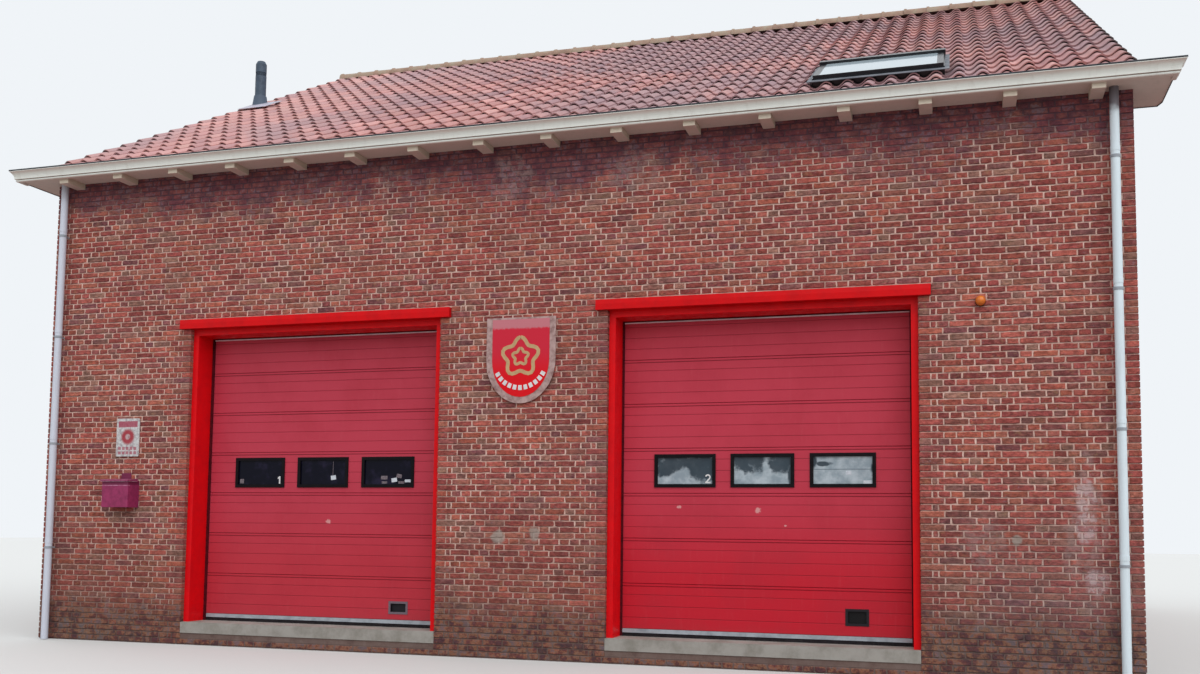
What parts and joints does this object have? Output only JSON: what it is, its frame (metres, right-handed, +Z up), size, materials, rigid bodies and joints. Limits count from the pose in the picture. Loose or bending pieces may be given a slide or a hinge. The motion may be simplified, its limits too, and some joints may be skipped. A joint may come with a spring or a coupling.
{
  "type": "fire station building",
  "caption": "Low brick vehicle station with sectional doors side by side, steel lintels, a moulded box-gutter cornice on corbels, a pantiled gable roof, roof window and flue.",
  "frame": {"origin": "centre of the plan at the foot of the brick walls", "axes": "+Z up, -Y out of the front with the doors, +X to the right as seen from the front"},
  "size_m": [12.558, 14.078, 9.2957],
  "materials": {
    "brick": "weathered red and brown brick with pale recessed joints",
    "concrete": "rough concrete",
    "deck_boards": "sawn softwood",
    "roof_tile": "fired clay, weathered",
    "ridge_tile": "fired clay, weathered",
    "cornice_paint": "old cream paint",
    "zinc": "dull grey zinc",
    "pipe_grey": "light grey plastic",
    "red_steel": "bright red gloss paint",
    "door_red": "red coated ribbed steel",
    "aluminium": "mill aluminium",
    "rubber": "black rubber",
    "black_plastic": "black plastic",
    "grey_plastic": "grey plastic",
    "glass": "clear glazing",
    "clear_plastic": "dulled clear acrylic",
    "shield_red": "red sheet",
    "sign_white": "off-white plate",
    "mailbox_paint": "purple-red paint",
    "orange_plastic": "orange lens",
    "flue_metal": "dark blue-grey coating",
    "window_grey": "grey coated cladding"
  },
  "bodies": {
    "building": {"floor_slab": "concrete", "front_wall": "brick", "rear_wall": "brick", "left_gable_wall": "brick", "right_gable_wall": "brick", "roof_deck_front": "deck_boards", "roof_deck_rear": "deck_boards", "tile_field_front": "roof_tile", "tile_field_rear": "roof_tile", "ridge_tiles": "ridge_tile", "front_cornice": "cornice_paint", "rear_cornice": "cornice_paint", "front_gutter_lining": "zinc", "rear_gutter_lining": "zinc", "front_corbels": "cornice_paint", "rear_corbels": "cornice_paint", "front_downpipes": "pipe_grey", "rear_downpipes": "pipe_grey", "downpipe_clips": "pipe_grey", "door_1_lintel": "red_steel", "door_2_lintel": "red_steel", "door_1_frame": "red_steel", "door_2_frame": "red_steel", "door_1_leaf": "door_red", "door_2_leaf": "door_red", "door_bottom_rails": "aluminium", "door_bottom_seals": "rubber", "door_side_seals": "rubber", "door_window_frames": "black_plastic", "door_window_glass": "glass", "door_1_grip": "grey_plastic", "door_2_grip": "black_plastic", "door_thresholds": "concrete", "shield_plate": "clear_plastic", "shield_field": "shield_red", "sign_plate": "sign_white", "mailbox_body": "mailbox_paint", "lamp_base": "black_plastic", "lamp_dome": "orange_plastic", "flue_pipe": "flue_metal", "flue_flashing": "zinc", "roof_window_frame": "window_grey", "roof_window_sash": "window_grey", "roof_window_glass": "glass", "roof_window_flashing": "zinc"},
    "lid": {"mailbox_lid": "mailbox_paint"}
  },
  "joints": [
    {"name": "mailbox_lid_hinge", "type": "hinge", "parent": "building", "child": "lid", "pos_m": [-4.76, -6.674, 1.831], "axis": [-1, 0, 0], "range_deg": [0, 75]}
  ]
}
